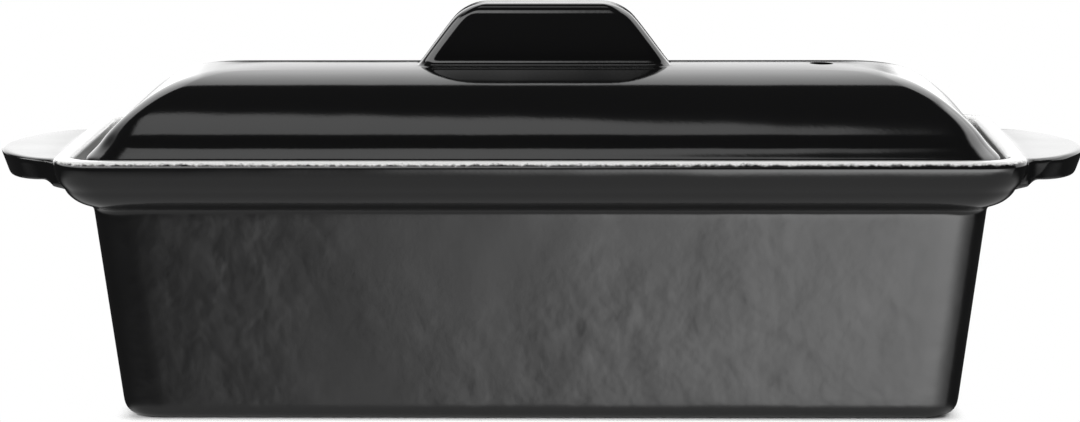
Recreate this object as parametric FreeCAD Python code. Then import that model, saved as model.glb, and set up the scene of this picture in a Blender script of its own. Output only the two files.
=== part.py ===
import FreeCAD
import Part
import math
import os
from FreeCAD import Vector

# A rectangular terrine dish in enamelled cast iron, with its loose lid.
# The dish is one casting: a tapered body, a flared collar that ends in a
# raised rim, and a thin lug at each end to carry it by. The lid is a second
# casting: a domed shell, hollow underneath, with a solid bar handle and one
# round steam vent. The lid only rests on the ledge inside the rim.
#
# Millimetres. X runs along the length, Y from front to back, Z up.
# The origin is the middle of the base, on the surface that the dish stands on.

# Rim and collar of the dish
rim_length = 279.3
rim_width = 118.2
dish_height = 76.9
rim_thickness = 6.6
rim_corner_radius = 12.5
rim_outer_edge_radius = 1.8
rim_inner_edge_radius = 1.4
collar_height = 14.5
collar_lean = 22.0
collar_heel_radius = 10.0
seat_depth = 6.0

# Body of the dish
body_inset = 11.0
body_draft = 6.7
body_corner_radius = 12.0
base_edge_radius = 4.5
wall = 4.2
floor_thickness = 4.8
inner_floor_radius = 6.5

# End lugs
lug_reach = 20.95
lug_width = 82.0
lug_drop = 2.0
lug_thickness = 7.0
lug_corner_radius = 12.0
lug_root_depth = 4.0
lug_top_edge_radius = 1.8
lug_lower_edge_radius = 2.6
lug_groove_radius = 11.0
lug_groove_depth = 2.4
lug_groove_inset = 9.5

# Lid shell
lid_clearance = 2.0
lid_shift = 0.9
lid_corner_radius = 9.5
lid_edge_height = 5.8
lid_lip = 5.2
lid_wall = 4.0
flare_angle = 47.0
flare_run = 9.6
shoulder_radius = 36.0
crown_radius = 140.0
hip_blend = 16.0

# Steam vent
vent_diameter = 7.0
vent_offset = 82.0

# Handle
handle_length = 75.2
handle_height = 18.2
handle_thickness = 15.5
handle_slope = 37.0
handle_corner_radius = 13.5
handle_edge_radius = 4.6
handle_foot_radius = 4.5
handle_sink = 2.0

# Modelling allowances
overlap = 1.0
grid_step = 4.0
grid_margin = 2.0
fillet_share = 0.9
foot_steps = 5

# Places that follow from the sizes above
seat_height = dish_height - seat_depth
collar_foot = dish_height - collar_height
lid_half_length = rim_length / 2.0 - rim_thickness - lid_clearance
lid_half_width = rim_width / 2.0 - rim_thickness - lid_clearance


def rounded_rectangle(half_length, half_width, radius, height):
    """A closed level outline with round corners, centred on the Z axis."""
    radius = min(radius, half_length * fillet_share, half_width * fillet_share)
    outline = []
    corners = [(1, 1, 0.0), (-1, 1, 90.0), (-1, -1, 180.0), (1, -1, 270.0)]
    for side_x, side_y, start in corners:
        centre_x = side_x * (half_length - radius)
        centre_y = side_y * (half_width - radius)
        points = []
        for turn in (0.0, 45.0, 90.0):
            angle = math.radians(start + turn)
            x = centre_x + radius * math.cos(angle)
            y = centre_y + radius * math.sin(angle)
            points.append(Vector(x, y, height))
        outline.append(points)
    edges = []
    for index, points in enumerate(outline):
        following = outline[(index + 1) % len(outline)]
        edges.append(Part.Arc(*points).toShape())
        edges.append(Part.LineSegment(points[-1], following[0]).toShape())
    return Part.Wire(edges)


def edges_at(shape, height):
    """The edges of a shape that lie level at one height."""
    level = []
    for edge in shape.Edges:
        box = edge.BoundBox
        if abs(box.ZMin - height) < 1e-3 and abs(box.ZMax - height) < 1e-3:
            level.append(edge)
    return level


def tapered_block(lower, lower_height, upper, upper_height, corner_radius):
    """A solid with four leaning flat sides and round corners of one radius.

    Lower and upper are the half length and half width at the two heights.
    """
    block = Part.makeWedge(
        -lower[0], lower_height, -lower[1], -upper[1], -upper[0],
        lower[0], upper_height, lower[1], upper[1], upper[0],
    )
    block.rotate(Vector(0, 0, 0), Vector(1, 0, 0), 90.0)
    leaning = []
    for edge in block.Edges:
        if edge.BoundBox.ZLength > (upper_height - lower_height) / 2.0:
            leaning.append(edge)
    return block.makeFillet(corner_radius, leaning)


def body_half_sizes(height):
    """Half length and half width of the body's outside at a height."""
    taper = (collar_foot - height) * math.tan(math.radians(body_draft))
    inset = body_inset + taper
    return rim_length / 2.0 - inset, rim_width / 2.0 - inset


def body_outside():
    """The tapered body, from the base to inside the collar."""
    top = collar_foot + overlap
    body = tapered_block(body_half_sizes(0.0), 0.0, body_half_sizes(top), top, body_corner_radius)
    radius = min(base_edge_radius, body_corner_radius * fillet_share)
    return body.makeFillet(radius, edges_at(body, 0.0))


def collar_outside():
    """The flared collar, with its lower edge rounded towards the body."""
    inset = collar_height * math.tan(math.radians(collar_lean))
    rim = (rim_length / 2.0, rim_width / 2.0)
    foot = (rim[0] - inset, rim[1] - inset)
    collar = tapered_block(foot, collar_foot, rim, dish_height, rim_corner_radius)
    turn = math.radians(90.0 - collar_lean) / 2.0
    room = collar_height / math.cos(math.radians(collar_lean)) / math.tan(turn)
    radius = min(collar_heel_radius, room * fillet_share, rim_corner_radius * fillet_share)
    return collar.makeFillet(radius, edges_at(collar, collar_foot))


def lug_outline(height):
    """Half an oval made of a tip arc between two corner arcs, closed behind its root."""
    half_width = lug_width / 2.0
    corner = min(lug_corner_radius, lug_reach * fillet_share)
    offset = half_width - corner
    tip_radius = (lug_reach ** 2 + offset ** 2 - corner ** 2) / (2.0 * (lug_reach - corner))
    tip_centre = Vector(lug_reach - tip_radius, 0, height)
    corner_centre = Vector(0, offset, height)
    towards = (corner_centre - tip_centre).normalize()
    joint = corner_centre + towards * corner
    middle_angle = (math.pi / 2.0 + math.atan2(towards.y, towards.x)) / 2.0
    middle = corner_centre + Vector(math.cos(middle_angle), math.sin(middle_angle), 0) * corner
    root = Vector(0, half_width, height)
    back = Vector(-lug_root_depth, half_width, height)
    tip = Vector(lug_reach, 0, height)
    near = [Vector(p.x, -p.y, height) for p in (joint, middle, root, back)]
    edges = [
        Part.LineSegment(back, root).toShape(),
        Part.Arc(root, middle, joint).toShape(),
        Part.Arc(joint, tip, near[0]).toShape(),
        Part.Arc(near[0], near[1], near[2]).toShape(),
        Part.LineSegment(near[2], near[3]).toShape(),
        Part.LineSegment(near[3], back).toShape(),
    ]
    return Part.Wire(edges)


def lug():
    """The lug at the +X end: half an oval plate, hollowed along its underside."""
    top = dish_height - lug_drop
    bottom = top - lug_thickness
    plate = Part.Face(lug_outline(bottom)).extrude(Vector(0, 0, lug_thickness))
    limit = lug_thickness / 2.0 * fillet_share
    rims = ((top, lug_top_edge_radius), (bottom, lug_lower_edge_radius))
    for height, radius in rims:
        rounded = [edge for edge in edges_at(plate, height) if edge.BoundBox.XMax > overlap]
        plate = plate.makeFillet(min(radius, limit), rounded)
    plate.translate(Vector(rim_length / 2.0, 0, 0))
    groove_x = rim_length / 2.0 + lug_reach - lug_groove_inset
    groove_z = bottom + lug_groove_depth - lug_groove_radius
    start = Vector(groove_x, -lug_width, groove_z)
    groove = Part.makeCylinder(lug_groove_radius, 2.0 * lug_width, start, Vector(0, 1, 0))
    return plate.cut(groove)


def cavity():
    """The room inside the body, with its bottom edge rounded."""
    skin = wall / math.cos(math.radians(body_draft))
    radius = max(body_corner_radius - wall, body_corner_radius / 2.0)
    top = seat_height + overlap
    inner = []
    for height in (floor_thickness, top):
        half_length, half_width = body_half_sizes(height)
        inner.append((half_length - skin, half_width - skin))
    room = tapered_block(inner[0], floor_thickness, inner[1], top, radius)
    floor_radius = min(inner_floor_radius, radius * fillet_share)
    return room.makeFillet(floor_radius, edges_at(room, floor_thickness))


def lid_recess():
    """The recess inside the rim, down to the ledge that carries the lid."""
    outline = rounded_rectangle(
        rim_length / 2.0 - rim_thickness,
        rim_width / 2.0 - rim_thickness,
        max(rim_corner_radius - rim_thickness / 2.0, rim_corner_radius / 2.0),
        seat_height,
    )
    return Part.Face(outline).extrude(Vector(0, 0, seat_depth + overlap))


def dish():
    """The whole casting that holds the food."""
    far_lug = lug()
    near_lug = far_lug.mirror(Vector(0, 0, 0), Vector(1, 0, 0))
    outside = body_outside().fuse([collar_outside(), far_lug, near_lug])
    hollow = cavity().fuse(lid_recess())
    casting = outside.cut(hollow).removeSplitter()
    rim_edges = edges_at(casting, dish_height)
    inner_limit = rim_length / 2.0 - rim_thickness / 2.0
    outer = [edge for edge in rim_edges if outline_reach(edge) > inner_limit]
    casting = casting.makeFillet(rim_outer_edge_radius, outer)
    rim_edges = edges_at(casting, dish_height)
    inner = [edge for edge in rim_edges if outline_reach(edge) < inner_limit - overlap]
    return casting.makeFillet(rim_inner_edge_radius, inner)


def outline_reach(edge):
    """How far out along X the rim outline that an edge belongs to would reach."""
    box = edge.BoundBox
    by_length = max(abs(box.XMin), abs(box.XMax))
    by_width = max(abs(box.YMin), abs(box.YMax)) + (rim_length - rim_width) / 2.0
    return max(by_length, by_width)


def smooth_least(first, second, blend):
    """The smaller of two distances, with the crease between them rounded."""
    closeness = max(blend - abs(first - second), 0.0) / blend
    return min(first, second) - closeness * closeness * blend / 4.0


def skin_height(distance, sink):
    """Height of the lid's skin at a distance in from its edge.

    The skin is a straight flare, a shoulder arc and a shallow crown arc that
    is level above the middle of the lid. A sink greater than nought gives the
    inner skin, that much below the outer one.
    """
    slope = math.radians(flare_angle)
    room = (lid_half_width - flare_run) * fillet_share
    shoulder = min(shoulder_radius, room / math.sin(slope))
    spare = lid_half_width - flare_run - shoulder * math.sin(slope)
    join = math.asin(spare / (crown_radius - shoulder))
    edge_top = seat_height + lid_edge_height
    flare_top = edge_top + flare_run * math.tan(slope)
    shoulder_x = flare_run + shoulder * math.sin(slope)
    shoulder_z = flare_top - shoulder * math.cos(slope)
    crown_x = lid_half_width
    crown_z = shoulder_z - (crown_radius - shoulder) * math.cos(join)
    if distance < shoulder_x - (shoulder - sink) * math.sin(slope):
        return edge_top + distance * math.tan(slope) - sink / math.cos(slope)
    if distance < shoulder_x - (shoulder - sink) * math.sin(join):
        return shoulder_z + math.sqrt((shoulder - sink) ** 2 - (distance - shoulder_x) ** 2)
    return crown_z + math.sqrt((crown_radius - sink) ** 2 - (distance - crown_x) ** 2)


def under_skin(sink):
    """A block that fills everything below the lid's outer or inner skin."""
    half_x = lid_half_length + grid_margin
    half_y = lid_half_width + grid_margin
    count_x = 2 * math.ceil(half_x / grid_step)
    count_y = 2 * math.ceil(half_y / grid_step)
    rows = []
    for row in range(count_x + 1):
        x = half_x * (2.0 * row / count_x - 1.0)
        points = []
        for column in range(count_y + 1):
            y = half_y * (2.0 * column / count_y - 1.0)
            from_end = lid_half_length - abs(x)
            from_side = lid_half_width - abs(y)
            distance = smooth_least(from_end, from_side, hip_blend)
            points.append(Vector(x, y, skin_height(distance, sink)))
        rows.append(points)
    surface = Part.BSplineSurface()
    surface.interpolate(rows)
    return surface.toShape().extrude(Vector(0, 0, -2.0 * dish_height))


def lid_prism(inset, floor, top):
    """A straight block with the lid's outline, drawn in by an inset."""
    outline = rounded_rectangle(
        lid_half_length - inset,
        lid_half_width - inset,
        max(lid_corner_radius - inset, lid_corner_radius / 2.0),
        floor,
    )
    return Part.Face(outline).extrude(Vector(0, 0, top - floor))


def handle_half_length(height):
    """Half length of the handle at a height above the crown."""
    return handle_length / 2.0 - height * math.tan(math.radians(handle_slope))


def handle_bar(crown):
    """The bar of the handle: a tapered plate with rounded ends and edges."""
    bottom = crown - handle_sink
    top = crown + handle_height
    foot_half = handle_half_length(-handle_sink)
    top_half = handle_half_length(handle_height)
    slope = math.radians(handle_slope)
    turn = (math.pi / 2.0 - slope) / 2.0
    radius = min(handle_corner_radius, top_half / math.tan(turn) * fillet_share)
    tangent = radius * math.tan(turn)
    outline = []
    corner = Vector(top_half, 0, top)
    before = corner - Vector(-math.sin(slope), 0, math.cos(slope)) * tangent
    after = corner - Vector(tangent, 0, 0)
    centre = after - Vector(0, 0, radius)
    middle_angle = (math.pi / 2.0 + slope) / 2.0
    middle = centre + Vector(math.cos(middle_angle), 0, math.sin(middle_angle)) * radius
    outline.append(Part.LineSegment(Vector(foot_half, 0, bottom), before).toShape())
    outline.append(Part.Arc(before, middle, after).toShape())
    mirrored = [Vector(-p.x, 0, p.z) for p in (after, middle, before)]
    outline.append(Part.LineSegment(after, mirrored[0]).toShape())
    outline.append(Part.Arc(*mirrored).toShape())
    outline.append(Part.LineSegment(mirrored[2], Vector(-foot_half, 0, bottom)).toShape())
    outline.append(Part.LineSegment(Vector(-foot_half, 0, bottom), Vector(foot_half, 0, bottom)).toShape())
    plate = Part.Face(Part.Wire(outline)).extrude(Vector(0, handle_thickness, 0))
    plate.translate(Vector(0, -handle_thickness / 2.0, 0))
    rounded = []
    for edge in plate.Edges:
        box = edge.BoundBox
        on_face = box.YMax - box.YMin < 1e-3
        if on_face and box.ZMax > bottom + 1e-3:
            rounded.append(edge)
    radius = min(handle_edge_radius, handle_thickness / 2.0 * fillet_share)
    return plate.makeFillet(radius, rounded)


def handle_foot(crown):
    """The hollow-curved foot that spreads the handle's sides into the crown."""
    sections = []
    half_thickness = handle_thickness / 2.0
    for step in range(foot_steps + 1):
        angle = math.pi / 2.0 * step / foot_steps
        rise = handle_foot_radius * (1.0 - math.cos(angle))
        spread = handle_foot_radius * (1.0 - math.sin(angle))
        half_length = handle_half_length(rise) - handle_edge_radius / 2.0
        sections.append(
            rounded_rectangle(half_length, half_thickness + spread, handle_edge_radius, crown + rise)
        )
    foot = Part.makeLoft(sections, True, True)
    base_half = handle_half_length(0.0) - handle_edge_radius / 2.0
    base = rounded_rectangle(
        base_half, half_thickness + handle_foot_radius, handle_edge_radius, crown - handle_sink
    )
    return foot.fuse(Part.Face(base).extrude(Vector(0, 0, handle_sink)))


def lid():
    """The whole lid, set down on the ledge."""
    crown = skin_height(lid_half_width, 0.0)
    above = crown + overlap
    shell = lid_prism(0.0, seat_height, above).common(under_skin(0.0))
    shell = shell.fuse([handle_bar(crown), handle_foot(crown)])
    hollow = lid_prism(lid_lip, seat_height - overlap, above).common(under_skin(lid_wall))
    vent_height = crown - seat_height + 2.0 * overlap
    vent_start = Vector(vent_offset, 0, seat_height - overlap)
    vent = Part.makeCylinder(vent_diameter / 2.0, vent_height, vent_start)
    casting = shell.cut([hollow, vent]).removeSplitter()
    casting.translate(Vector(lid_shift, 0, 0))
    return casting


def export(name, shape):
    """Write one sub-part as a single solid."""
    solids = shape.Solids
    box = shape.BoundBox
    print(name, "solids", len(solids), "valid", shape.isValid(), "volume", round(shape.Volume))
    print("  x", round(box.XMin, 2), round(box.XMax, 2), "y", round(box.YMin, 2), round(box.YMax, 2))
    print("  z", round(box.ZMin, 2), round(box.ZMax, 2))
    solids[0].exportStep(os.path.join("parts", name + ".step"))


os.makedirs("parts", exist_ok=True)
export("dish", dish())
export("lid", lid())
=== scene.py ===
import math
from collections import namedtuple

import bmesh
import bpy
from mathutils import Euler, Matrix, Vector


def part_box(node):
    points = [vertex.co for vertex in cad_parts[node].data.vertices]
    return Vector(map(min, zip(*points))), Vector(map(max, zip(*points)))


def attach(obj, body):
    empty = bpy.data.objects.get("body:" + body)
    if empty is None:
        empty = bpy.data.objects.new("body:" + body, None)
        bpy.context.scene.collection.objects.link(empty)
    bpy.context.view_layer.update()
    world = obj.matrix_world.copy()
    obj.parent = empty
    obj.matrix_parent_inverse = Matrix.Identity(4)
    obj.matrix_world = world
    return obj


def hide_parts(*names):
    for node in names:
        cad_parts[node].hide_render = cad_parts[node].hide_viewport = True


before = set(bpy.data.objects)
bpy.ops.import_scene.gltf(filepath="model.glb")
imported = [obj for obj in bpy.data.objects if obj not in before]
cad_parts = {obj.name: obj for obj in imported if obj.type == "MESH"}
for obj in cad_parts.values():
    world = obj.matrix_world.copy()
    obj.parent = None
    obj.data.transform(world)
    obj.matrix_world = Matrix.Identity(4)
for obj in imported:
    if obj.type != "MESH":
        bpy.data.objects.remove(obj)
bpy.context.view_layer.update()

bl_info = {
    "name": "Terrine Dish",
    "version": (1, 0, 0),
    "blender": (4, 5, 0),
    "location": "View3D > Sidebar > Terrine",
    "description": "Builds a lidded terrine dish in gloss black enamel, with a plain studio",
    "category": "Object",
}

# The rim and the lid's crown take their heights from the solids.
dish_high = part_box("dish")[1]
lid_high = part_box("lid")[1]
# How much higher than its solid the rim is drawn, to bring its pale line, a painted highlight, to
# the right height.
RIM_RAISE = 0.0006
HANDLE_HEIGHT = 0.0182
# How far the top of the handle stays below its solid.
KEPT_BACK = 0.00001
# Places nearer than this count as the same, in metres.
TOUCH = 1e-6
MILLIMETRE = 0.001


def metres(name, description, default):
    """A size in metres."""
    return bpy.props.FloatProperty(
        name=name, description=description, default=default, unit="LENGTH")


def degrees(name, description, angle):
    """An angle, written in degrees and kept in radians."""
    return bpy.props.FloatProperty(
        name=name, description=description, default=math.radians(angle), subtype="ANGLE")


def plain(name, description, default):
    """A number without a unit."""
    return bpy.props.FloatProperty(name=name, description=description, default=default)


def tint(name, description, default):
    return bpy.props.FloatVectorProperty(
        name=name, description=description, default=default, subtype="COLOR", size=3)


class DishSizes(bpy.types.PropertyGroup):
    """Sizes of the casting that holds the food."""

    rim_length: metres("Rim length", "Length over the sharp rim, without the lugs", 0.2793)
    rim_width: metres("Rim width", "Width over the sharp rim", 0.1182)
    height: metres("Height", "Base to rim", dish_high.z + RIM_RAISE)
    rim_thickness: metres("Rim thickness", "Rim's outer edge to its recess", 0.0066)
    rim_corner: metres("Rim corner", "Radius of the rim's corners in plan", 0.0125)
    rim_outer_edge: metres("Rim outer edge", "Rounding of the rim's outer edge", 0.0018)
    rim_inner_edge: metres("Rim inner edge", "Rounding of the rim's inner edge", 0.0014)
    seat_depth: metres("Seat depth", "Rim down to the ledge under the lid", 0.0066)
    collar_height: metres("Collar height", "Foot of the collar to the rim", 0.0151)
    collar_lean: degrees("Collar lean", "Lean of the collar's wall", 22)
    collar_swell: metres("Collar swell", "Bulge of the collar's leaning wall", 0.0010)
    collar_heel: metres("Collar heel", "Rounding under the collar", 0.010)
    neck_fillet: metres("Neck fillet", "Hollow between body and collar", 0.0018)
    body_inset: metres("Body inset", "Rim in to the body's top", 0.011)
    body_draft: degrees("Body draft", "Lean of the body's sides", 6.7)
    body_corner: metres("Body corner", "Radius of the body's corners", 0.012)
    base_edge: metres("Base edge", "Rounding round the base", 0.0045)
    wall: metres("Wall", "Thickness of the sides", 0.0042)
    floor: metres("Floor", "Thickness of the floor", 0.0048)
    inner_floor_edge: metres("Inner floor edge", "Rounding round the floor inside", 0.0065)
    lug_reach: metres("Lug reach", "Rim's end to the tip of a lug", 0.02095)
    lug_width: metres("Lug width", "Width of a lug at its root", 0.072)
    lug_drop: metres("Lug drop", "Rim down to the lug's top", 0.0020)
    lug_thickness: metres("Lug thickness", "Thickness of a lug at its tip", 0.0080)
    lug_taper: metres("Lug taper", "How much thinner a lug is at its root", 0.0022)
    lug_root_drop: metres("Lug root drop", "Underside's spread down the collar", 0.003)
    lug_fullness: plain("Lug fullness", "Power of a lug's oval; 2 is an ellipse", 1.8)
    lug_hollow: metres("Lug hollow", "Depth of the hollow under a lug", 0.0022)


class LidSizes(bpy.types.PropertyGroup):
    """Sizes of the lid, with its handle and its steam vent."""

    clearance: metres("Clearance", "Gap between the lid and its recess", 0.002)
    shift: metres("Shift", "How far the lid sits off the middle", 0.0009)
    corner: metres("Corner", "Radius of the lid's corners at its edge", 0.0095)
    hip_corner: metres("Hip corner", "Radius of the lid's hips in plan", 0.0050)
    edge_height: metres("Edge height", "Height of the lid's upright edge", 0.0058)
    lip: metres("Lip", "Width of the lip that rests on the ledge", 0.0052)
    wall: metres("Wall", "Thickness of the lid", 0.004)
    crown: metres("Crown", "Base to the lid's crown", lid_high.z - HANDLE_HEIGHT - KEPT_BACK)
    vent_diameter: metres("Vent diameter", "Diameter of the steam vent", 0.007)
    vent_offset: metres("Vent offset", "Lid's middle to the steam vent", 0.082)
    handle_length: metres("Handle length", "Length of the handle at the crown", 0.0742)
    handle_height: metres("Handle height", "Crown to the handle's top", HANDLE_HEIGHT)
    handle_thickness: metres("Handle thickness", "Thickness of the handle's bar", 0.0155)
    handle_slope: degrees("Handle slope", "Lean of the handle's ends", 37)
    handle_corner: metres("Handle corner", "Radius of the handle's upper corners", 0.0135)
    handle_edge: metres("Handle edge", "Rounding of the handle's top edges", 0.0030)
    handle_side: metres("Handle side", "Rounding of the handle's ends in plan", 0.0036)
    handle_foot: metres("Handle foot", "Hollow curve round the handle's foot", 0.0020)


class EnamelLook(bpy.types.PropertyGroup):
    """Colour and surface of the gloss black enamel."""

    colour: tint("Colour", "Colour of the enamel", (0.006, 0.006, 0.0062))
    # The pale colour is a painted highlight along the rim's top; the recess and the ledge take it
    # too.
    rim_highlight_and_recess_colour: tint(
        "Pale colour", "Colour of the thin glaze on the rim's top", (0.86, 0.86, 0.85))
    lid_roughness: plain("Lid roughness", "Roughness of the lid's gloss", 0.09)
    dish_roughness: plain("Dish roughness", "Roughness of the dish's sides", 0.22)
    rim_roughness: plain("Rim roughness", "Roughness of the rim and the lugs", 0.1)
    wave_depth: metres("Wave depth", "Depth of the slow waves left by the mould", 0.00022)
    mottle_depth: metres("Mottle depth", "Depth of the casting's mottled grain", 0.00017)
    peel_depth: metres("Peel depth", "Depth of the fine orange peel", 0.000006)


class StudioSettings(bpy.types.PropertyGroup):
    """Camera, floor and light."""

    camera_place: bpy.props.FloatVectorProperty(
        name="Camera place", description="Where the camera stands", subtype="TRANSLATION", size=3,
        default=(0.016763, -1.049068, 0.209777))
    camera_pitch: degrees("Camera pitch", "How far the camera looks down", 8.385)
    camera_turn: degrees("Camera turn", "How far the camera looks to the left", 0.942)
    camera_roll: degrees("Camera roll", "Roll of the camera about its own axis", -0.12)
    lens: plain("Lens", "Focal length in millimetres on a 36 mm sensor", 118.56)
    floor_colour: tint("Floor colour", "Colour of the floor", (0.87, 0.87, 0.87))
    back_light: plain("Back light", "Brightness of the white backdrop", 1.42)
    top_light: plain("Top light", "Brightness of the strip overhead", 1.5)
    left_light: plain("Left light", "Brightness of the soft box at the front left", 3.8)
    low_light: plain("Low light", "Brightness of the low soft box at the front right", 4.9)
    right_light: plain("Right light", "Brightness of the white wall at the right", 3.0)
    room_light: plain("Room light", "Brightness of the dim rest of the room", 0.02)
    table_light: plain("Table light", "Brightness of the table below", 0.55)


class Ring(namedtuple("Ring", "half_length half_width corner height")):
    """A level rectangle with round corners, centred on the Z axis."""

    def turn(self):
        """Where the corner's arc has its centre, along X and Y."""
        return self.half_length - self.corner, self.half_width - self.corner


def cos_sin(angle):
    return math.cos(math.radians(angle)), math.sin(math.radians(angle))


def arc(centre_inset, centre_height, radius, first, last, steps):
    """Inset and height of points on an arc; angles are from the outward level, up positive."""
    points = []
    for step in range(steps + 1):
        cos, sin = cos_sin(first + (last - first) * step / steps)
        points.append((centre_inset - radius * cos, centre_height + radius * sin))
    return points


def closing_rings(ring, shares):
    """Level rings that shrink from one ring to a ridge along its middle."""
    rings = []
    for share in shares:
        inset = ring.half_width * share
        rings.append(Ring(ring.half_length - inset, ring.half_width - inset,
                          ring.corner * (1.0 - share), ring.height))
    return rings


def move(*way):
    """Move what is selected."""
    bpy.ops.transform.translate(value=way)


def stretch(*factors, centre=(0.0, 0.0, 0.0)):
    """Scale what is selected."""
    bpy.ops.transform.resize(value=factors, center_override=centre)


class RingStack:
    """A quarter of a casting, modelled as level rings that are extruded from one another."""

    def __init__(self, name, start, end_cuts, side_cuts, corner_cuts):
        bpy.ops.object.select_all(action="DESELECT")
        bpy.ops.mesh.primitive_plane_add(size=1.0, location=(0.0, 0.0, 0.0))
        self.piece = bpy.context.object
        self.piece.name = self.piece.data.name = name
        bpy.ops.object.mode_set(mode="EDIT")
        bpy.context.tool_settings.mesh_select_mode = (True, False, False)
        bpy.ops.mesh.select_all(action="SELECT")
        move(0.5, 0.5, 0.0)
        stretch(start.half_length, start.half_width, 1.0)
        move(0.0, 0.0, start.height)
        self.pick(lambda p: p.x > TOUCH and p.y > TOUCH)
        bpy.ops.mesh.bevel(
            offset=start.corner, segments=corner_cuts, profile=0.5, affect="VERTICES")
        self.pick(lambda p: p.x < TOUCH and p.y < TOUCH)
        bpy.ops.mesh.delete(type="VERT")
        turn_x, turn_y = start.turn()
        self.pick(lambda p: p.y < turn_y + TOUCH)
        bpy.ops.mesh.subdivide(number_cuts=end_cuts - 1)
        self.pick(lambda p: p.x < turn_x + TOUCH)
        bpy.ops.mesh.subdivide(number_cuts=side_cuts - 1)
        bpy.ops.mesh.select_all(action="SELECT")
        self.start = self.ring = start
        self.start_chain = self.chain = self.chosen()

    def vertices(self):
        """The vertices of the piece, in the order of their numbers."""
        model = bmesh.from_edit_mesh(self.piece.data)
        model.verts.index_update()
        model.verts.ensure_lookup_table()
        return model.verts

    def chosen(self):
        """The numbers of the selected vertices."""
        return [v.index for v in self.vertices() if v.select]

    def choose(self, numbers):
        """Select the vertices with these numbers and nothing else."""
        bpy.ops.mesh.select_all(action="DESELECT")
        vertices = self.vertices()
        for number in numbers:
            vertices[number].select = True
        if len(numbers) > 1:
            bmesh.from_edit_mesh(self.piece.data).select_flush(True)
        bmesh.update_edit_mesh(self.piece.data, loop_triangles=False, destructive=False)

    def pick(self, test):
        """Select the vertices whose place passes a test."""
        self.choose([v.index for v in self.vertices() if test(v.co)])

    def delete_faces(self, test):
        """Delete the faces that pass a test."""
        bpy.ops.mesh.select_all(action="DESELECT")
        for face in bmesh.from_edit_mesh(self.piece.data).faces:
            if test(face):
                face.select = True
        bmesh.update_edit_mesh(self.piece.data, loop_triangles=False, destructive=False)
        bpy.ops.mesh.delete(type="FACE")

    def grow(self, ring):
        """Extrude the last ring and reshape the copy into the next one."""
        last = self.ring
        bpy.ops.mesh.extrude_edges_move(
            TRANSFORM_OT_translate={"value": (0.0, 0.0, ring.height - last.height)})
        self.chain = self.chosen()
        turn, new_turn = (Vector((*each.turn(), ring.height)) for each in (last, ring))
        places = {number: self.vertices()[number].co.copy() for number in self.chain}
        corner = [n for n, p in places.items() if p.x > turn.x - TOUCH and p.y > turn.y - TOUCH]
        end = [n for n, p in places.items() if p.y <= turn.y - TOUCH]
        side = [n for n, p in places.items() if p.x <= turn.x - TOUCH]
        self.choose(corner)
        scale = ring.corner / last.corner
        stretch(scale, scale, 1.0, centre=turn)
        move(*(new_turn - turn))
        self.choose(end)
        move(ring.half_length - last.half_length, 0.0, 0.0)
        stretch(1.0, new_turn.y / turn.y, 1.0)
        self.choose(side)
        move(0.0, ring.half_width - last.half_width, 0.0)
        stretch(new_turn.x / turn.x, 1.0, 1.0)
        self.choose(self.chain)
        self.ring = ring

    def back_to_start(self):
        """Select the first ring again, to grow the stack the other way."""
        self.ring, self.chain = self.start, self.start_chain
        self.choose(self.chain)

    def settle(self, height_at):
        """Move the last ring's vertices to heights that depend on their places."""
        for number in self.chain:
            self.choose([number])
            place = self.vertices()[number].co.copy()
            move(0.0, 0.0, height_at(place) - place.z)
        self.choose(self.chain)

    def finish(self, offset=0.0):
        """Mirror the quarter to the whole casting, smooth it and leave it at the origin."""
        bpy.ops.mesh.select_all(action="SELECT")
        bpy.ops.mesh.remove_doubles(threshold=TOUCH)
        bpy.ops.object.mode_set(mode="OBJECT")
        mirror = self.piece.modifiers.new("both_ways", "MIRROR")
        mirror.use_axis = (True, True, False)
        mirror.merge_threshold = 5.0 * TOUCH
        bpy.ops.object.modifier_apply(modifier=mirror.name)
        bpy.ops.object.mode_set(mode="EDIT")
        bpy.ops.mesh.select_all(action="SELECT")
        bpy.ops.mesh.remove_doubles(threshold=TOUCH)
        bpy.ops.mesh.normals_make_consistent(inside=False)
        move(offset, 0.0, 0.0)
        bpy.ops.object.mode_set(mode="OBJECT")
        smooth = self.piece.modifiers.new("smooth", "SUBSURF")
        smooth.levels = smooth.render_levels = 1
        bpy.ops.object.modifier_apply(modifier=smooth.name)
        return self.piece


# The body's corners tighten by this much over the hollow under the collar.
NECK_TIGHTENING = 0.0015
# Distance of the rings that keep an edge crisp when the casting is smoothed.
EDGE_HOLD = 0.0006


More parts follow.
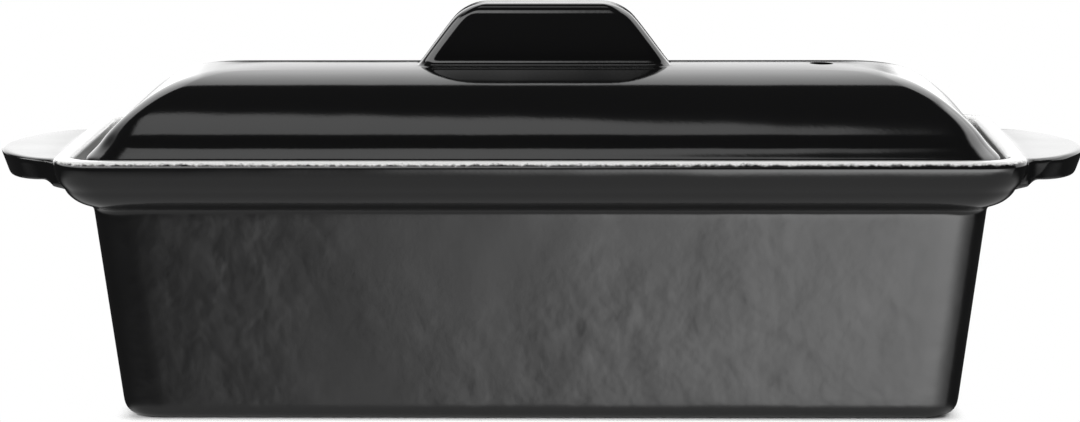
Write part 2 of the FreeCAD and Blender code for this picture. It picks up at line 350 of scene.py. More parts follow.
class DishOutline:
    """Places on the dish that follow from its sizes."""

    def __init__(self, sizes):
        self.sizes = sizes
        self.seat = sizes.height - sizes.seat_depth
        self.collar_foot = sizes.height - sizes.collar_height
        self.lug_top = sizes.height - sizes.lug_drop
        root_thickness = sizes.lug_thickness - sizes.lug_taper
        self.root_bottom = self.lug_top - root_thickness - sizes.lug_root_drop
        self.taper = math.tan(sizes.body_draft)

    def ring(self, inset, height, corner):
        """A ring at an inset from the rim's outer edge."""
        sizes = self.sizes
        return Ring(sizes.rim_length / 2 - inset, sizes.rim_width / 2 - inset, corner, height)

    def body_inset(self, height):
        """Inset of the body's tapered wall."""
        return self.sizes.body_inset + (self.collar_foot - height) * self.taper

    def base_profile(self):
        """Inset and height round the base's edge, from the underside to the wall."""
        sizes = self.sizes
        radius = sizes.base_edge
        centre = self.body_inset(radius) + radius / math.cos(sizes.body_draft)
        return arc(centre, radius, radius, -90.0, -math.degrees(sizes.body_draft), 4)

    def base_corner(self, inset):
        """Radius in plan at an inset on the base's rounded edge."""
        return self.sizes.body_corner + self.base_profile()[-1][0] - inset

    def neck(self):
        """The hollow under the collar: its centre, and the angle where the heel takes over."""
        sizes = self.sizes
        heel_inset, heel_height, heel_radius = self.heel()
        reach = heel_radius + sizes.neck_fillet
        wall = sizes.neck_fillet / math.cos(sizes.body_draft)
        # The centre's inset depends on its height through the draft, so both are found in turns.
        drop = 0.0
        for _ in range(20):
            inset = self.body_inset(heel_height - drop) - wall
            drop = math.sqrt(reach ** 2 - (inset - heel_inset) ** 2)
        return inset, heel_height - drop, -math.degrees(math.atan2(drop, heel_inset - inset))

    def collar_inset(self, height):
        """Inset of the collar's leaning wall, before it swells."""
        return (self.sizes.height - height) * math.tan(self.sizes.collar_lean)

    def rounding(self, height, radius):
        """Inset, height and radius of a rounding that runs into the collar's wall."""
        inset = self.collar_inset(height) + radius / math.cos(self.sizes.collar_lean)
        return inset, height, radius

    def heel(self):
        radius = self.sizes.collar_heel
        return self.rounding(self.collar_foot + radius, radius)

    def outer_rings(self):
        """From the base's edge up the body and the collar to the top of the rim."""
        sizes = self.sizes
        rings = []
        for inset, height in self.base_profile()[1:]:
            rings.append(self.ring(inset, height, self.base_corner(inset)))
        low = rings[-1].height
        neck_inset, neck_height, heel_turn = self.neck()
        lean = math.degrees(sizes.body_draft)
        high = neck_height + sizes.neck_fillet * math.sin(sizes.body_draft)
        for share in (0.03, 0.14, 0.3, 0.46, 0.62, 0.78, 0.91, 0.98):
            height = low + (high - low) * share
            rings.append(self.ring(self.body_inset(height), height, sizes.body_corner))
        # The hollow's arc is seen from outside the casting, so it turns the other way.
        for share in (0.0, 0.35, 0.7, 1.0):
            cos, sin = cos_sin(180.0 - lean + (heel_turn + lean) * share)
            inset = neck_inset - sizes.neck_fillet * cos
            height = neck_height + sizes.neck_fillet * sin
            rings.append(self.ring(inset, height, sizes.body_corner - NECK_TIGHTENING * share))
        heel = self.heel()
        root_turn = math.degrees(math.asin((self.root_bottom - heel[1]) / sizes.collar_heel))
        wall_turn = -math.degrees(sizes.collar_lean)
        profile = arc(*heel, heel_turn, root_turn, 3)[1:] + arc(*heel, root_turn, wall_turn, 2)[1:]
        foot_corner = rings[-1].corner
        for index, (inset, height) in enumerate(profile):
            share = (index + 1) / len(profile)
            corner = foot_corner + (sizes.rim_corner - foot_corner) * share
            rings.append(self.ring(inset, height, corner))
        radius = sizes.rim_outer_edge
        rim = self.rounding(sizes.height - radius, radius)
        last_turn = math.degrees(math.asin((self.lug_top - rim[1]) / radius))
        edge = arc(*rim, wall_turn / 3, last_turn, 1)
        middle = rings[-1].height + 0.3 * (edge[0][1] - rings[-1].height)
        wall = self.collar_inset(middle) - sizes.collar_swell
        rings.append(self.ring(wall, middle, sizes.rim_corner))
        edge += arc(*rim, last_turn, 90.0, 4)[1:]
        first = edge[0][0]
        for inset, height in edge:
            rings.append(self.ring(inset, height, sizes.rim_corner - (inset - first)))
        return rings

    def inner_rings(self):
        """From the rim's top down the recess, over the ledge and down to the floor."""
        sizes = self.sizes
        recess_corner = sizes.rim_corner - sizes.rim_thickness / 2
        rings = []
        edge = arc(sizes.rim_thickness - sizes.rim_inner_edge, sizes.height - sizes.rim_inner_edge,
                   -sizes.rim_inner_edge, -90.0, 0.0, 3)
        for inset, height in edge:
            rings.append(self.ring(inset, height, recess_corner + (sizes.rim_thickness - inset)))
        inset = sizes.rim_thickness
        for height in (self.seat + 0.6 * sizes.seat_depth, self.seat + EDGE_HOLD, self.seat):
            rings.append(self.ring(inset, height, recess_corner))
        skin = sizes.wall / math.cos(sizes.body_draft)
        cavity = self.body_inset(self.seat) + skin
        corner = sizes.body_corner - sizes.wall
        for share in (0.08, 0.5, 0.9):
            ledge = inset + (cavity - inset) * share
            ledge_corner = recess_corner + (corner - recess_corner) * share
            rings.append(self.ring(ledge, self.seat, ledge_corner))
        rings.append(self.ring(cavity + 0.0001, self.seat - 0.0005, corner))
        radius = sizes.inner_floor_edge
        centre_height = sizes.floor + radius
        centre_inset = self.body_inset(centre_height) + skin + radius / math.cos(sizes.body_draft)
        lean = math.degrees(sizes.body_draft)
        bend = arc(centre_inset, centre_height, radius, -lean, -90.0, 5)
        top, bottom = self.seat - 0.002, bend[0][1]
        for share in (0.0, 0.2, 0.4, 0.6, 0.8, 0.95):
            height = top + (bottom - top) * share
            rings.append(self.ring(self.body_inset(height) + skin, height, corner))
        for inset, height in bend:
            rings.append(self.ring(inset, height, corner - (inset - bend[0][0]) * 0.9))
        return rings + closing_rings(rings[-1], (0.06, 0.3, 0.65, 1.0))


def lug_outline(sizes, shares):
    """Points round half of a lug's oval, at shares of the way from its tip to its root."""
    steps = 400  # fine enough for the lengths along the oval
    power = 2.0 / sizes.lug_fullness
    line = []
    for step in range(steps + 1):
        cos, sin = cos_sin(90.0 * step / steps)
        line.append((sizes.lug_reach * cos ** power, sizes.lug_width / 2 * sin ** power))
    lengths = [0.0]
    for (x, y), (next_x, next_y) in zip(line, line[1:]):
        lengths.append(lengths[-1] + math.hypot(next_x - x, next_y - y))
    return [next(point for point, length in zip(line, lengths) if length >= share * lengths[-1])
            for share in shares]


# How the columns of faces are spread over half of a lug, from its middle to its side.
LUG_SPREAD = (0.0, 0.12, 0.235, 0.345, 0.45, 0.55, 0.64, 0.72, 0.79, 0.85, 0.9, 0.94)
LUG_COLUMNS = len(LUG_SPREAD) - 1
# Steps that pull a lug out, as shares of the way to its edge.
LUG_STEPS = (0.08, 0.17, 0.28, 0.4, 0.53, 0.66, 0.78, 0.87, 0.93, 0.97, 1.0)
# Points round half of a lug's rim, to measure the distance to its edge from.
RIM_POINTS = 161
# The radius of a lug's rounded edge goes this many times into its thickness.
LUG_ROUNDINGS = 7
# How far a lug's edge leans in below, and the reach over which the lean sets in.
LUG_EDGE_LEAN, LUG_LEAN_REACH = 0.0024, 0.01
# The reach over which a lug blends into the collar, and its spread to the side there.
LUG_BLEND, LUG_SIDE_SPREAD = 0.0042, 0.0016
# Where the hollow under a lug starts, from the edge and from the collar, and how soon it is deep.
HOLLOW_FROM_EDGE, HOLLOW_EDGE_REACH = 0.0016, 0.0065
HOLLOW_FROM_ROOT, HOLLOW_ROOT_REACH = 0.002, 0.006
# A face whose normal has less of Y than this looks along the dish.
END_FACING = 0.02


def ease(value):
    """A smooth step from 0 to 1."""
    value = min(max(value, 0.0), 1.0)
    return value * value * (3.0 - 2.0 * value)


def choose_lug_root(stack, outline):
    """Select the collar's faces that a lug is pulled from, and count their rows."""
    sizes = outline.sizes
    low, high = outline.root_bottom - TOUCH, outline.lug_top + TOUCH
    recess = sizes.rim_length / 2 - sizes.rim_thickness
    faces = []
    for face in bmesh.from_edit_mesh(stack.piece.data).faces:
        levels = [v.co.z for v in face.verts]
        outside = max(v.co.x for v in face.verts) > recess + 0.2 * MILLIMETRE
        between = min(levels) > low and max(levels) < high
        if outside and between and abs(face.normal.y) < END_FACING:
            faces.append(face)
    rows = sum(min(v.co.y for v in face.verts) < TOUCH for face in faces)
    faces.sort(key=lambda face: face.calc_center_median().y)
    stack.choose({v.index for face in faces[:rows * LUG_COLUMNS] for v in face.verts})
    return rows


def root_blend(reach):
    """How much a lug belongs to the collar: 1 at its root, and 0 from a short reach on."""
    return max(1.0 - reach / LUG_BLEND, 0.0) ** 2


def lug_height(outline, reach, edge, level):
    """Height of a place on a lug, from its reach, its distance to the edge and its level."""
    sizes = outline.sizes
    rounding = sizes.lug_thickness / LUG_ROUNDINGS
    drop = rounding - math.sqrt(rounding ** 2 - (rounding - min(edge, rounding)) ** 2)
    hollow = sizes.lug_hollow * ease((edge - HOLLOW_FROM_EDGE) / HOLLOW_EDGE_REACH)
    hollow *= ease((reach - HOLLOW_FROM_ROOT) / HOLLOW_ROOT_REACH)
    taper = sizes.lug_taper * (1.0 - reach / sizes.lug_reach)
    thickness = sizes.lug_thickness - taper - 2.0 * drop
    underside = max(1.0 - 2.0 * level, 0.0)
    height = outline.lug_top - drop - (1.0 - level) * thickness
    return height + underside * (hollow - root_blend(reach) * sizes.lug_root_drop)


def pull_lug(stack, outline):
    """Pull one lug out of the collar's end, a step at a time."""
    sizes = outline.sizes
    root = sizes.rim_length / 2
    rows = choose_lug_root(stack, outline)
    points = lug_outline(sizes, LUG_SPREAD)
    rim = lug_outline(sizes, [step / RIM_POINTS for step in range(RIM_POINTS)])
    # The rim goes on behind the root, where the outermost columns have their nearest point.
    rim += [(-MILLIMETRE * step, sizes.lug_width / 2) for step in range(1, 5)]
    for share in LUG_STEPS:
        bpy.ops.mesh.extrude_region_move(TRANSFORM_OT_translate={"value": (MILLIMETRE, 0.0, 0.0)})
        cap = stack.chosen()
        places = {number: stack.vertices()[number].co.copy() for number in cap}
        order = sorted(cap, key=lambda number: places[number].y)
        for index, (x, y) in enumerate(points):
            start_y = sizes.lug_width / 2 * LUG_SPREAD[index] / LUG_SPREAD[-1]
            x, y = x * share, start_y + (y - start_y) * share
            edge = min(math.hypot(x - rim_x, y - rim_y) for rim_x, rim_y in rim)
            y += root_blend(x) * ease(index / LUG_COLUMNS * 3.0 - 2.0) * LUG_SIDE_SPREAD
            column = order[index * (rows + 1):(index + 1) * (rows + 1)]
            column.sort(key=lambda number: places[number].z)
            for row, number in enumerate(column):
                level = row / rows
                lean = (level - 1.0) * LUG_EDGE_LEAN * share * ease(x / LUG_LEAN_REACH)
                place = Vector((root + x + lean, y, lug_height(outline, x, edge, level)))
                stack.choose([number])
                move(*(place - places[number]))
        stack.choose(cap)
    # The mirror would leave these faces inside the lug, as a wall.
    stack.delete_faces(lambda face: max(abs(v.co.y) for v in face.verts) < TOUCH)


# How many columns of faces a quarter of each casting has along its end and its side.
DISH_END, DISH_SIDE = 12, 10
LID_END, LID_SIDE = 7, 14
CORNER_COLUMNS = 8


def build_dish(sizes):
    """The dish: tapered body, flared collar, rim, ledge, room inside and two end lugs."""
    outline = DishOutline(sizes)
    first_inset, first_height = outline.base_profile()[0]
    start = outline.ring(first_inset, first_height, outline.base_corner(first_inset))
    stack = RingStack("dish_casting", start, DISH_END, DISH_SIDE, CORNER_COLUMNS)
    for ring in closing_rings(start, (0.06, 0.2, 0.45, 0.7, 1.0)):
        stack.grow(ring)
    stack.back_to_start()
    for ring in outline.outer_rings() + outline.inner_rings():
        stack.grow(ring)
    pull_lug(stack, outline)
    return stack.finish()


# Slope of the lid's outer skin by the share of the way in from its edge to its ridge.
LID_SLOPES = (
    (0.0, 43.0), (0.03, 44.0), (0.045, 47.0), (0.066, 50.0), (0.08, 54.8), (0.114, 54.8),
    (0.129, 50.2), (0.15, 48.6), (0.2, 45.0), (0.257, 42.0), (0.3, 39.0), (0.36, 34.5),
    (0.43, 27.5), (0.5, 19.5), (0.6, 11.8), (0.7, 6.8), (0.83, 3.2), (1.0, 0.0),
)
# Distances in from the lid's edge of the rings outside and in its hollow.
SKIN_RINGS = (0.0020, 0.0030, 0.0038, 0.0045, 0.0052, 0.0059, 0.0067, 0.0078, 0.0094, 0.0114,
              0.0138, 0.0162, 0.0184, 0.0206, 0.0226, 0.0246, 0.0268, 0.0295, 0.0325, 0.0360)
HOLLOW_RINGS = (0.0060, 0.0075, 0.0095, 0.012, 0.015, 0.018, 0.021, 0.0245, 0.028, 0.032, 0.036,
                0.041, 0.046)
# How far in the lid's round corners have become its hips, outside and in the hollow.
HIP_START, HOLLOW_HIP_START = 0.012, 0.010
# The share of its half width that a ring's corner takes at most.
FULLEST_SKIN_CORNER, FULLEST_HANDLE_CORNER = 0.9, 0.85


class LidOutline:
    """Places on the lid that follow from its sizes."""

    def __init__(self, sizes, dish):
        self.sizes = sizes
        self.seat = dish.height - dish.seat_depth
        inset = dish.rim_thickness + sizes.clearance
        self.half_length = dish.rim_length / 2 - inset
        self.half_width = dish.rim_width / 2 - inset
        self.edge_top = self.seat + sizes.edge_height
        self.stretch = (sizes.crown - self.edge_top) / self.raw_rise(self.half_width)

    def slope(self, distance):
        """Slope of the skin at a distance in from the edge, in radians."""
        share = min(max(distance / self.half_width, 0.0), 1.0)
        for (near, near_slope), (far, far_slope) in zip(LID_SLOPES, LID_SLOPES[1:]):
            if share <= far:
                part = (share - near) / (far - near)
                return math.radians(near_slope + (far_slope - near_slope) * part)
        return 0.0

    def raw_rise(self, distance):
        """Rise of the skin that the slopes give, before it is stretched to the crown's height."""
        steps = 200
        total = 0.0
        for step in range(steps):
            total += math.tan(self.slope(distance * (step + 0.5) / steps)) * distance / steps
        return total

    def skin(self, distance):
        """Height of the outer skin at a distance in from the edge."""
        return self.edge_top + self.stretch * self.raw_rise(distance)

    def corner(self, distance):
        """Radius in plan at a distance in from the edge."""
        sizes = self.sizes
        corner = sizes.corner + (sizes.hip_corner - sizes.corner) * ease(distance / HIP_START)
        return min(corner, FULLEST_SKIN_CORNER * (self.half_width - distance))

    def ring(self, distance, height, corner=None):
        if corner is None:
            corner = self.corner(distance)
        return Ring(self.half_length - distance, self.half_width - distance, corner, height)

    def under_rings(self):
        """From the lip's outer edge in, up the hollow and on to its ridge."""
        sizes = self.sizes
        inner = sizes.corner - sizes.lip
        # The rings close to an edge keep it crisp when the shell is smoothed.
        rings = [self.ring(EDGE_HOLD * step, self.seat) for step in (1, 2)]
        rings += [self.ring(sizes.lip - hold, self.seat, inner + hold) for hold in (0.0012, 0.0004)]
        rings.append(self.ring(sizes.lip, self.seat + 0.0005, inner))
        spring = self.skin(sizes.lip) - sizes.wall / math.cos(self.slope(sizes.lip))
        for share in (0.3, 0.65, 0.9):
            rings.append(self.ring(sizes.lip, self.seat + (spring - self.seat) * share, inner))
        for distance in HOLLOW_RINGS:
            share = min((distance - sizes.lip) / HOLLOW_HIP_START, 1.0)
            corner = inner + (self.corner(distance) - inner) * share
            drop = sizes.wall / math.cos(self.slope(distance))
            rings.append(self.ring(distance, self.skin(distance) - drop, corner))
        return rings + [self.ring(self.half_width, sizes.crown - sizes.wall, 0.0)]

    def outer_rings(self):
        """Up the edge and the skin, as far as the outermost ring on the crown."""
        rings = [
            self.ring(0.0, self.seat + 0.0007),
            self.ring(0.0, self.seat + 0.003),
            self.ring(0.0, self.edge_top - 0.0009),
            self.ring(0.0003, self.edge_top + 0.0001),
            self.ring(0.0011, self.skin(0.0011)),
        ]
        return rings + [self.ring(distance, self.skin(distance)) for distance in SKIN_RINGS]

    def crown_height(self, place):
        """Height of the skin above a place near the ridge."""
        ridge = self.half_length - self.half_width
        away = math.hypot(max(abs(place.x) - ridge, 0.0), place.y)
        return self.skin(self.half_width - away)

    def handle_half_length(self, rise):
        """Half the bar's length between its leaning ends, at a rise above the crown."""
        return self.sizes.handle_length / 2 - rise * math.tan(self.sizes.handle_slope)

    def foot_ring(self, angle):
        """A ring round the handle's foot; angle 0 lies on the crown and 90 on the bar."""
        sizes = self.sizes
        cos, sin = cos_sin(angle)
        rise, spread = sizes.handle_foot * (1.0 - cos), sizes.handle_foot * (1.0 - sin)
        half_width = sizes.handle_thickness / 2 + spread
        # The foot spreads mostly to the front and the back.
        half_length = self.handle_half_length(rise) + 0.1 * spread
        corner = min(sizes.handle_side + 0.5 * spread, FULLEST_HANDLE_CORNER * half_width)
        return Ring(half_length, half_width, corner, sizes.crown + rise)

    def handle_rings(self):
        """Up the bar of the handle and over its top to the ridge."""
        sizes = self.sizes
        edge_start = sizes.handle_height - sizes.handle_edge
        slope = sizes.handle_slope
        top_length = self.handle_half_length(sizes.handle_height)
        corner_centre = top_length - sizes.handle_corner * math.tan((math.pi / 2 - slope) / 2)
        corner_level = sizes.handle_height - sizes.handle_corner
        # Each step has its rise above the crown and the cosine of the top edge's arc there.
        steps = [(sizes.handle_foot + (edge_start - sizes.handle_foot) * share, 1.0)
                 for share in (0.2, 0.45, 0.7, 0.9, 1.0)]
        for angle in (18.0, 36.0, 52.0, 66.0, 78.0, 90.0):
            cos, sin = cos_sin(angle)
            steps.append((edge_start + sizes.handle_edge * sin, cos))
        rings = []
        for rise, cos in steps:
            half_length = self.handle_half_length(rise)
            up = rise - corner_level
            if up > sizes.handle_corner * math.sin(slope):
                half_length = corner_centre + math.sqrt(sizes.handle_corner ** 2 - up ** 2)
            half_width = sizes.handle_thickness / 2 - sizes.handle_edge * (1 - cos)
            # The ends' rounding gets tighter over the top edge, down to half a millimetre.
            end_rounding = max(1.35 * sizes.handle_edge * cos, 0.0005)
            corner = min(sizes.handle_side, FULLEST_HANDLE_CORNER * half_width, end_rounding)
            rings.append(Ring(half_length, half_width, corner, sizes.crown + rise))
        return rings + closing_rings(rings[-1], (0.25, 0.6, 1.0))


def build_lid(sizes, dish):
    """The lid: domed shell with its lip and hollow, and bar handle; the steam vent is drilled
    afterwards.
    """
    outline = LidOutline(sizes, dish)
    start = outline.ring(0.0, outline.seat + 0.0003)
    stack = RingStack("lid_casting", start, LID_END, LID_SIDE, CORNER_COLUMNS)
    for ring in outline.under_rings():
        stack.grow(ring)
    stack.back_to_start()
    for ring in outline.outer_rings():
        stack.grow(ring)
    skirt = stack.ring
    foot = outline.foot_ring(0.0)
    for share in (0.2, 0.42, 0.64, 0.82, 0.93, 1.0):
        mixed = [a + (b - a) * share for a, b in zip(skirt, foot)]
        stack.grow(Ring(*mixed[:3], sizes.crown))
        stack.settle(outline.crown_height)
    for angle in (16.0, 34.0, 52.0, 70.0, 90.0):
        stack.grow(outline.foot_ring(angle))
    bar = outline.handle_rings()
    stack.grow(bar[0])
    # The rings below follow the crown; from here on they are level.
    stack.settle(lambda place: bar[0].height)
    for ring in bar[1:]:
        stack.grow(ring)
    return stack.finish(sizes.shift)


def select_only(piece):
    bpy.ops.object.select_all(action="DESELECT")
    piece.select_set(True)
    bpy.context.view_layer.objects.active = piece


def cut_vent(piece, sizes):
    """Drill the steam vent through the crown."""
    bpy.ops.object.select_all(action="DESELECT")
    bpy.ops.mesh.primitive_cylinder_add(
        vertices=48, radius=sizes.vent_diameter / 2, depth=5.0 * sizes.wall,
        location=(sizes.shift + sizes.vent_offset, 0.0, sizes.crown - sizes.wall / 2))
    drill = bpy.context.object
    select_only(piece)
    cut = piece.modifiers.new("vent", "BOOLEAN")
    cut.operation = "DIFFERENCE"
    cut.solver = "EXACT"
    cut.object = drill
    bpy.ops.object.modifier_apply(modifier=cut.name)
    bpy.data.objects.remove(drill)


def smooth_shading(piece):
    select_only(piece)
    bpy.ops.object.shade_smooth_by_angle(angle=math.radians(40.0))


def both_ways(operation):
    """The method of an operator and of its reflected form, which add a Math node."""
    return (lambda self, other: self.math(operation, self, other),
            lambda self, other: self.math(operation, other, self))


class Value:
    """A socket that can be used in arithmetic."""

    __add__, __radd__ = both_ways("ADD")
    __sub__, __rsub__ = both_ways("SUBTRACT")
    __mul__, __rmul__ = both_ways("MULTIPLY")
    __pow__, __rpow__ = both_ways("POWER")

    def __init__(self, graph, socket):
        self.graph = graph
        self.socket = socket

    def math(self, operation, *others):
        """A Math node with this operation on these values."""
        values = dict(enumerate(others))
        return self.graph.node("ShaderNodeMath", {"operation": operation}, values)

    def __abs__(self):
        return self.math("ABSOLUTE", self)

    def positive(self):
        return self.math("MAXIMUM", self, 0.0)

    def ramp(self, low, high):
        """A smooth step from 0 at one value to 1 at another."""
        settings = {"interpolation_type": "SMOOTHSTEP"}
        values = {"Value": self, "From Min": min(low, high), "From Max": max(low, high)}
        if low > high:
            values.update({"To Min": 1.0, "To Max": 0.0})
        return self.graph.node("ShaderNodeMapRange", settings, values)


class Graph:
    """The node tree of a material or of the world."""

    def __init__(self, owner):
        owner.use_nodes = True
        self.tree = owner.node_tree
        self.tree.nodes.clear()

    def node(self, kind, settings=None, values=None, output=0):
        """Make a node from its type, settings and sockets' values or links; gives an output."""
        node = self.tree.nodes.new(kind)
        for name, setting in (settings or {}).items():
            setattr(node, name, setting)
        for name, value in (values or {}).items():
            socket = self.socket(node.inputs, name)
            if isinstance(value, Value):
                self.tree.links.new(value.socket, socket)
            else:
                socket.default_value = value
        return Value(self, self.socket(node.outputs, output)) if node.outputs else None

    @staticmethod
    def socket(sockets, name):
        """The enabled socket of this name or number."""
        if isinstance(name, int):
            return sockets[name]
        return next(socket for socket in sockets if socket.name == name and socket.enabled)

    def place(self):
        """Object coordinates, whole and by axis."""
        whole = self.node("ShaderNodeTexCoord", output="Object")
        return (whole,) + self.split(whole)

    def split(self, vector):
        """The X, Y and Z of a vector."""
        first = self.node("ShaderNodeSeparateXYZ", values={"Vector": vector})
        return tuple(Value(self, socket) for socket in first.socket.node.outputs)

    def noise(self, vector, scale, detail=2.0, roughness=0.5, distortion=0.0):
        values = {"Vector": vector, "Scale": scale, "Detail": detail, "Roughness": roughness,
                  "Distortion": distortion}
        return self.node("ShaderNodeTexNoise", values=values, output="Fac")


# How fine the patterns in the enamel are, as scales of their noise; RAGGED is the ragged edge of
# the rim's painted highlight.
WAVES, PATCHES, MOTTLE, PEEL, SMEAR, RAGGED = 32.0, 14.0, 125.0, 900.0, 60.0, 620.0
# The band near the dish's left end where the grain is deepest; each side from faint to full.
ROUGH_BAND = ((-0.055, -0.085), (-0.126, -0.112))
# The sides begin between these distances above and below their top.
SIDES_BEGIN = (0.002, 0.004)
ENAMEL_IOR = 1.5


def enamel(name, look, roughness, top_roughness, top_height, grain):
    """Gloss enamel on cast iron, with the mould's waves and grain under it."""
    material = bpy.data.materials.new(name)
    graph = Graph(material)
    place, x, _, z = graph.place()
    above, below = SIDES_BEGIN
    side = z.ramp(top_height + above, top_height - below)
    waves = graph.noise(place, WAVES, detail=1.0)
    patches = graph.noise(place, PATCHES, detail=1.0).ramp(0.4, 0.66)
    rough_end = x.ramp(*ROUGH_BAND[0]) * x.ramp(*ROUGH_BAND[1])
    patches = patches.math("MAXIMUM", patches, rough_end)
    mottle = graph.noise(place, MOTTLE, detail=2.0, roughness=0.4, distortion=0.1)
    peel = graph.noise(place, PEEL, detail=2.0)
    # A little of the grain is left between the patches and above the sides.
    grain_depth = (patches * 0.85 + 0.15) * (side * 0.9 + 0.1) * (look.mottle_depth * grain)
    height = waves * look.wave_depth + mottle * grain_depth + peel * look.peel_depth
    bump = graph.node("ShaderNodeBump", values={"Strength": 1.0, "Distance": 1.0, "Height": height})
    smear = graph.noise(place, SMEAR, detail=2.0) * 0.3 + 0.85
    gloss = (side * (roughness - top_roughness) + top_roughness) * smear
    values = {"Base Color": (*look.colour, 1.0), "Roughness": gloss, "IOR": ENAMEL_IOR,
              "Normal": bump}
    return material, graph, values


def finish_material(graph, values):
    shader = graph.node("ShaderNodeBsdfPrincipled", values=values)
    graph.node("ShaderNodeOutputMaterial", values={"Surface": shader})


# How much the lower edge of the rim's pale line, a painted highlight, wanders up and down.
RAGGED_DEPTH = 0.0018
# Where the enamel is drawn pale, as a painted highlight on the rim's top and as a pale recess and
# ledge: below the rim's top, out from the recess and below the ledge.
RIM_HIGHLIGHT_TOP = (0.0012, 0.0004)
PALE_RECESS = (0.0006, 0.0003)
PALE_LEDGE = (0.0004, 0.0001)


def dish_material(look, sizes):
    """The dish's enamel, with a painted highlight on top of the rim, and pale in the recess and on
    the ledge.
    """
    foot = sizes.height - sizes.collar_height
    material, graph, values = enamel(
        "dish_enamel", look, look.dish_roughness, look.rim_roughness, foot, grain=1.0)
    place, x, y, z = graph.place()
    # The pale band on the rim's top is a painted highlight, with a ragged lower edge.
    ragged = graph.noise(place, RAGGED, detail=3.0, roughness=0.7) * RAGGED_DEPTH - RAGGED_DEPTH / 2
    top = (z + ragged).ramp(*(sizes.height - depth for depth in RIM_HIGHLIGHT_TOP))
    seat = sizes.height - sizes.seat_depth
    recess = z.ramp(*(seat - depth for depth in PALE_LEDGE))
    for axis, size in ((x, sizes.rim_length), (y, sizes.rim_width)):
        inside = size / 2 - sizes.rim_thickness
        recess = recess * abs(axis).ramp(*(inside + width for width in PALE_RECESS))
    # The painted highlight and the pale recess and ledge take the same pale colour.
    pale = top.math("MAXIMUM", top, recess)
    mix = {"Factor": pale, "A": (*look.colour, 1.0), "B": (*look.rim_highlight_and_recess_colour, 1.0)}
    values["Base Color"] = graph.node("ShaderNodeMix", {"data_type": "RGBA"}, mix, "Result")
    finish_material(graph, values)
    return material


def lid_material(look):
    """The lid's enamel, glossy all over and with half of the dish's grain."""
    material, graph, values = enamel(
        "lid_enamel", look, look.lid_roughness, look.lid_roughness, 0.0, grain=0.5)
    finish_material(graph, values)
    return material


FLOOR_SIZE = 0.6
# Half the sides of the patch that the floor fades out from, and where it is gone and whole.
FLOOR_PATCH = (0.1155, 0.0352)
FLOOR_FADE = (0.0085, 0.001)


def floor_material(settings):
    """Pale floor that fades out round the dish, so that it runs into the white room."""
    material = bpy.data.materials.new("pale_floor")
    graph = Graph(material)
    _, x, y, _ = graph.place()
    beyond_x, beyond_y = ((abs(axis) - half).positive() for axis, half in zip((x, y), FLOOR_PATCH))
    away = (beyond_x * beyond_x + beyond_y * beyond_y) ** 0.5
    cover = away.ramp(*FLOOR_FADE)
    pale = graph.node("ShaderNodeBsdfDiffuse", values={"Color": (*settings.floor_colour, 1.0)})
    clear = graph.node("ShaderNodeBsdfTransparent")
    mixed = graph.node("ShaderNodeMixShader", values={"Fac": cover, 1: clear, 2: pale})
    graph.node("ShaderNodeOutputMaterial", values={"Surface": mixed})
    return material


# The soft edges of each light, on a ball of radius 1: the axis, where it is dark and where full.
LIGHT_EDGES = {
    "backdrop": (("z", 0.79, 0.745), ("z", -0.13, -0.03), ("x", -0.75, -0.4)),
    "top": (("y", -0.25, -0.215), ("z", 0.8, 0.9), ("x", 0.1, 0.055), ("x", -0.2, -0.15)),
    "left": (("z", 0.16, 0.26), ("x", 0.05, -0.06), ("z", 0.68, 0.58)),
    "low": (("z", -0.17, -0.3), ("z", -0.56, -0.45), ("x", 1.05, 0.45)),
    "right": (("x", 0.25, 0.4), ("y", -0.15, 0.05), ("z", 0.42, 0.52), ("z", 0.9, 0.8)),
    "table": (("z", -0.4, -0.6),),
}
# The strip overhead and the left soft box are slanted, and the strip is bowed.
STRIP_SLANT, STRIP_BOW = 1.15, 4.2
LEFT_SLANT = 1.25
# The backdrop is brighter beyond the dish's ends, as seen from the camera's place at the right.
ENDS_SHIFT, ENDS_LIFT = 0.016, 0.3


def studio_world(settings):
    """White for the camera; soft boxes, backdrop, wall and table for everything else."""
    world = bpy.data.worlds.new("studio")
    graph = Graph(world)
    x, y, z = graph.split(graph.node("ShaderNodeTexCoord", output="Generated"))
    axes = {"x": x, "y": y, "z": z}

    def within_edges(name, light):
        for axis, dark, full in LIGHT_EDGES[name]:
            light = light * axes[axis].ramp(dark, full)
        return light

    front = y.ramp(0.02, -0.06)
    # The backdrop has a dark patch low in its middle.
    patch = abs(x).ramp(0.13, 0.105) * z.ramp(0.09, 0.05)
    ends = abs(x + ENDS_SHIFT).ramp(0.122, 0.14)
    backdrop = within_edges("backdrop", 1.0 - front) * (1.0 - patch) * (1.0 + ends * ENDS_LIFT)
    backdrop = backdrop * settings.back_light
    right = within_edges("right", settings.right_light)
    bowed = (y + x * STRIP_SLANT + x * x * STRIP_BOW).ramp(0.005, -0.037)
    top = within_edges("top", bowed) * settings.top_light
    left = within_edges("left", (y + x * LEFT_SLANT).ramp(-0.6, -0.7)) * settings.left_light
    low = within_edges("low", front) * x.ramp(-0.14, 0.09) ** 1.6 * settings.low_light
    table = within_edges("table", settings.table_light)
    light = backdrop.math("MAXIMUM", backdrop, right) + top + left + low + table
    light = light + settings.room_light
    seen = graph.node("ShaderNodeLightPath", output="Is Camera Ray")
    light = light * (1.0 - seen) + seen
    values = {"Color": (1.0, 1.0, 1.0, 1.0), "Strength": light}
    background = graph.node("ShaderNodeBackground", values=values)
    graph.node("ShaderNodeOutputWorld", values={"Surface": background})
    return world


def set_material(piece, material):
    piece.data.materials.clear()
    piece.data.materials.append(material)


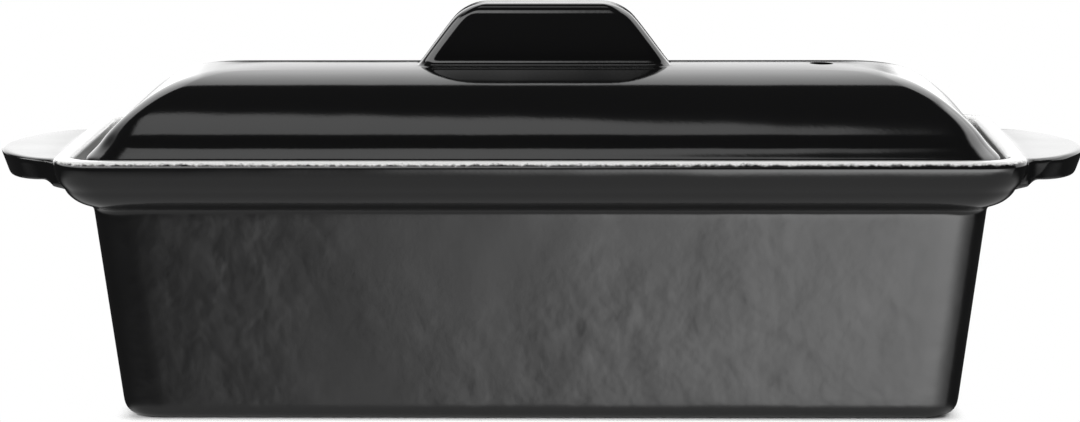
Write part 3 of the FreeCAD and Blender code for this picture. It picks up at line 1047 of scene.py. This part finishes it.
class TERRINE_OT_dish(bpy.types.Operator):
    """Model the dish casting with its rim, ledge and lugs"""

    bl_idname = "terrine.dish"
    bl_label = "Dish"

    def execute(self, context):
        piece = build_dish(context.scene.terrine_dish)
        smooth_shading(piece)
        set_material(piece, dish_material(context.scene.terrine_enamel, context.scene.terrine_dish))
        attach(piece, "root")
        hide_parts("dish")
        return {"FINISHED"}


class TERRINE_OT_lid(bpy.types.Operator):
    """Model the lid casting with its handle and steam vent"""

    bl_idname = "terrine.lid"
    bl_label = "Lid"

    def execute(self, context):
        piece = build_lid(context.scene.terrine_lid, context.scene.terrine_dish)
        cut_vent(piece, context.scene.terrine_lid)
        smooth_shading(piece)
        set_material(piece, lid_material(context.scene.terrine_enamel))
        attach(piece, "root")
        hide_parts("lid")
        return {"FINISHED"}


SENSOR_WIDTH = 36.0  # millimetres, as the lens


class TERRINE_OT_studio(bpy.types.Operator):
    """Set up the floor, the lights and the camera"""

    bl_idname = "terrine.studio"
    bl_label = "Studio"

    def execute(self, context):
        scene = context.scene
        settings = scene.terrine_studio
        camera_data = bpy.data.cameras.new("camera")
        camera = bpy.data.objects.new("camera", camera_data)
        scene.collection.objects.link(camera)
        scene.camera = camera
        camera.location = settings.camera_place
        aim = Euler((math.pi / 2 - settings.camera_pitch, 0.0, settings.camera_turn)).to_matrix()
        camera.rotation_euler = (aim @ Matrix.Rotation(settings.camera_roll, 3, "Z")).to_euler()
        camera_data.sensor_width = SENSOR_WIDTH
        camera_data.lens = settings.lens
        camera_data.clip_start = 0.01
        bpy.ops.object.select_all(action="DESELECT")
        bpy.ops.mesh.primitive_plane_add(size=FLOOR_SIZE, location=(0.0, 0.0, 0.0))
        floor = context.object
        floor.name = "floor"
        set_material(floor, floor_material(settings))
        scene.world = studio_world(settings)
        scene.view_settings.view_transform = "Standard"
        return {"FINISHED"}


class TERRINE_PT_panel(bpy.types.Panel):
    """Buttons for the pieces and the studio"""

    bl_idname = "TERRINE_PT_panel"
    bl_label = "Terrine dish"
    bl_space_type = "VIEW_3D"
    bl_region_type = "UI"
    bl_category = "Terrine"

    def draw(self, context):
        for operator in (TERRINE_OT_dish, TERRINE_OT_lid, TERRINE_OT_studio):
            self.layout.operator(operator.bl_idname)


SETTINGS = {
    "terrine_dish": DishSizes,
    "terrine_lid": LidSizes,
    "terrine_enamel": EnamelLook,
    "terrine_studio": StudioSettings,
}
CLASSES = (
    *SETTINGS.values(), TERRINE_OT_dish, TERRINE_OT_lid, TERRINE_OT_studio, TERRINE_PT_panel)


def register():
    for item in CLASSES:
        bpy.utils.register_class(item)
    for name, group in SETTINGS.items():
        setattr(bpy.types.Scene, name, bpy.props.PointerProperty(type=group))


def unregister():
    for name in SETTINGS:
        delattr(bpy.types.Scene, name)
    for item in reversed(CLASSES):
        bpy.utils.unregister_class(item)


def main():
    register()
    bpy.ops.terrine.dish()
    bpy.ops.terrine.lid()
    bpy.ops.terrine.studio()


if __name__ == "__main__":
    main()
